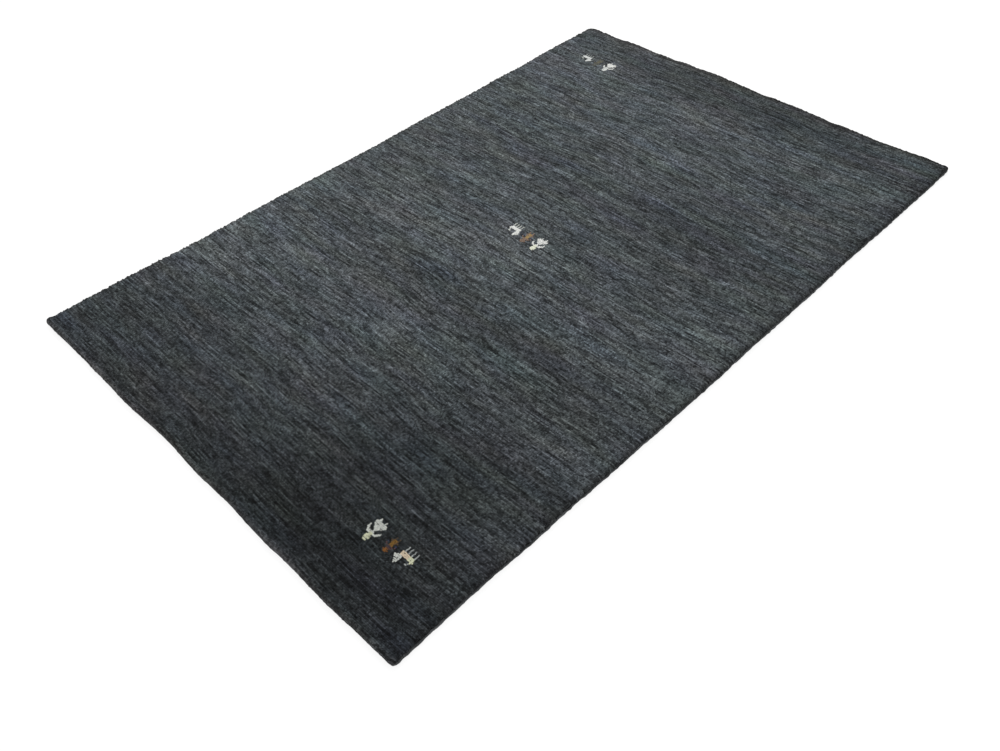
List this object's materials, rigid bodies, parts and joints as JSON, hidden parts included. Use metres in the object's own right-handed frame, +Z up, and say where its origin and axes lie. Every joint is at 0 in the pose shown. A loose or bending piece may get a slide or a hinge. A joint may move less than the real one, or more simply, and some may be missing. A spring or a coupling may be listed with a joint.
{
  "type": "gabbeh rug",
  "caption": "Flat oblong hand-loomed wool rug with short dense pile, turned ends, softly wavy edges and an overcast cord along each long side.",
  "frame": {"origin": "on the floor under the middle of the rug", "axes": "+Y along the rug's length, +X across its width, +Z up out of the pile"},
  "size_m": [1.0288, 1.6078, 0.014],
  "materials": {
    "pile_wool": "matt cut wool pile, charcoal heather",
    "overcast_wool": "matt twisted wool yarn, dark charcoal"
  },
  "bodies": {
    "root": {"pile_cloth": "pile_wool", "selvedge_right": "overcast_wool", "selvedge_left": "overcast_wool"}
  },
  "joints": []
}
